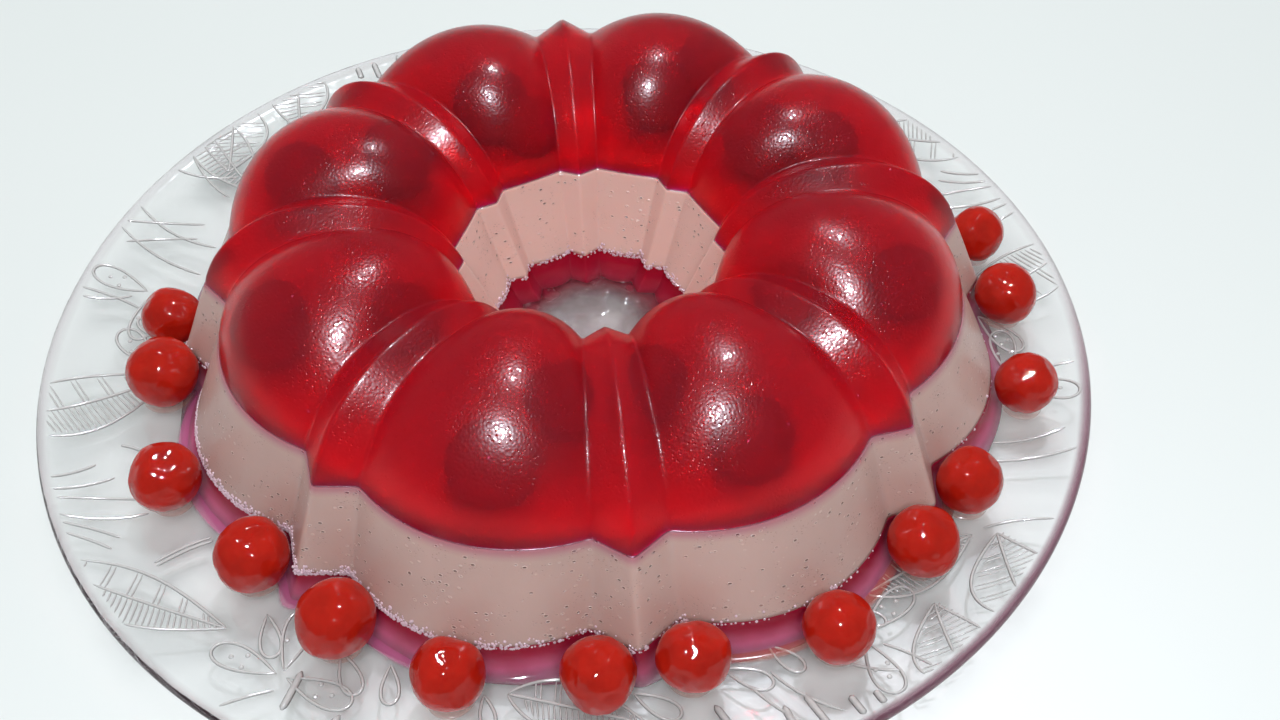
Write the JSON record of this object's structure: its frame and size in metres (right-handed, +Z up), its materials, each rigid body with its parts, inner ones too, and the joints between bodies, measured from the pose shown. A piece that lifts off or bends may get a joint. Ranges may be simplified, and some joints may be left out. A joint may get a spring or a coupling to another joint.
{
  "type": "moulded ring jelly on a glass plate",
  "caption": "Fluted ring of layered jelly, clear red over opaque cream over thin clear purple, on a round clear glass plate with whole cherries set round its foot.",
  "frame": {"origin": "middle of the plate's foot, on the surface the plate stands on", "axes": "+Z up; -Y towards the front ridge of the ring"},
  "size_m": [0.3014, 0.3014, 0.0694],
  "materials": {
    "glass_plate": "clear pressed glass, polished, with a low leaf and blossom relief under it",
    "purple_jelly": "wet clear purple jelly",
    "cream_jelly": "smooth opaque milk jelly with fine pits, slightly wet",
    "red_jelly": "wet clear deep red jelly, fine orange-peel gloss",
    "cherry": "glossy syrup-coated candied cherry"
  },
  "bodies": {
    "root": {"glass_plate": "glass_plate", "purple_layer": "purple_jelly", "cream_layer": "cream_jelly", "red_layer": "red_jelly", "cherry_01": "cherry", "cherry_02": "cherry", "cherry_03": "cherry", "cherry_04": "cherry", "cherry_05": "cherry", "cherry_06": "cherry", "cherry_07": "cherry", "cherry_08": "cherry", "cherry_09": "cherry", "cherry_10": "cherry", "cherry_11": "cherry", "cherry_12": "cherry", "cherry_13": "cherry", "cherry_14": "cherry", "cherry_15": "cherry", "cherry_16": "cherry", "cherry_17": "cherry", "cherry_18": "cherry", "cherry_19": "cherry", "cherry_20": "cherry", "cherry_21": "cherry"}
  },
  "joints": []
}
